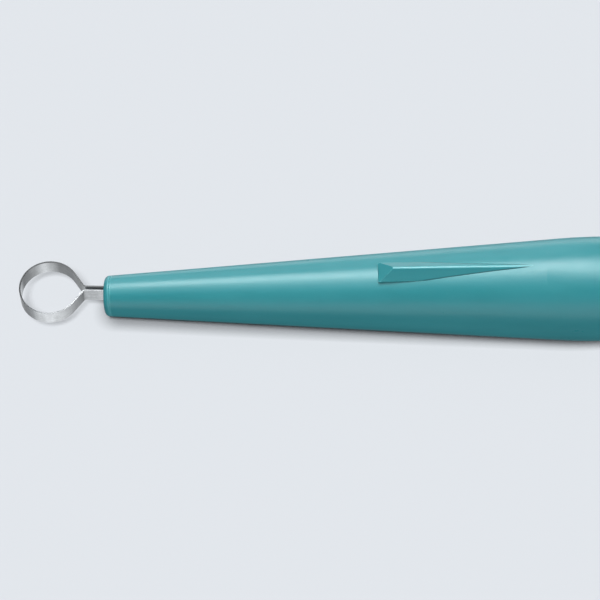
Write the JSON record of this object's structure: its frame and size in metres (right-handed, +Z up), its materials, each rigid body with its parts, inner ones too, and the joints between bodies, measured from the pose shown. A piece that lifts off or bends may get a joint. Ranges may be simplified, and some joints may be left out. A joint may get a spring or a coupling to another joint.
{
  "type": "loop trimming tool",
  "caption": "Slim tapered moulded handle holding a small round loop of flat steel ribbon, for carving and trimming; a raised wedge on top shows the loop's way up.",
  "frame": {"origin": "under the middle of the tool's length, on the lowest plane of the handle, with the tool's axis level", "axes": "+X along the tool's axis from the loop to the butt; +Z up, on the side of the raised index mark; the loop's plane is level, parallel to XY"},
  "size_m": [0.1196, 0.014, 0.014],
  "materials": {
    "blade_steel": "fine brushed spring steel",
    "collar_plastic": "satin moulded plastic",
    "pin_steel": "plain drawn steel",
    "handle_plastic": "satin moulded plastic with a very fine grain",
    "plug_plastic": "satin moulded plastic"
  },
  "bodies": {
    "root": {"loop_blade": "blade_steel", "nose_collar": "collar_plastic", "blade_pin": "pin_steel", "handle_body": "handle_plastic", "end_plug": "plug_plastic"}
  },
  "joints": []
}
